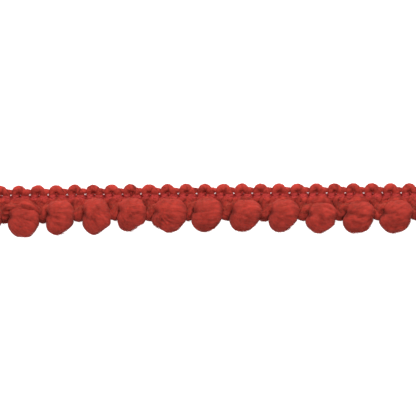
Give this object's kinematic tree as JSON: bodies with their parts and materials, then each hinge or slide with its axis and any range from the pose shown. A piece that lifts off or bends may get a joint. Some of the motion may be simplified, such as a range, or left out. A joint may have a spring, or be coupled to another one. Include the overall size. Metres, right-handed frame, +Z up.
{
  "type": "pom pom trim",
  "caption": "Cut length of pom pom trim: a crocheted heading with a picot edge that carries a row of small woolly pompoms on a thick roving.",
  "frame": {"origin": "on the surface that the trim lies on, under the middle of its outer box", "axes": "+X along the trim, +Y across it towards the picot edge, +Z up, away from the heading's flat back"},
  "size_m": [0.154, 0.0164, 0.0083],
  "materials": {
    "heading_yarn": "soft matte red yarn, crocheted",
    "pompom_wool": "matte, fuzzy red wool, trimmed with scissors"
  },
  "bodies": {
    "root": {"heading": "heading_yarn", "pompom_01": "pompom_wool", "pompom_02": "pompom_wool", "pompom_03": "pompom_wool", "pompom_04": "pompom_wool", "pompom_05": "pompom_wool", "pompom_06": "pompom_wool", "pompom_07": "pompom_wool", "pompom_08": "pompom_wool", "pompom_09": "pompom_wool", "pompom_10": "pompom_wool", "pompom_11": "pompom_wool", "pompom_12": "pompom_wool", "pompom_13": "pompom_wool", "roving_01": "pompom_wool", "roving_02": "pompom_wool", "roving_03": "pompom_wool", "roving_04": "pompom_wool", "roving_05": "pompom_wool", "roving_06": "pompom_wool", "roving_07": "pompom_wool", "roving_08": "pompom_wool", "roving_09": "pompom_wool", "roving_10": "pompom_wool", "roving_11": "pompom_wool", "roving_12": "pompom_wool", "roving_13": "pompom_wool", "roving_14": "pompom_wool"}
  },
  "joints": []
}
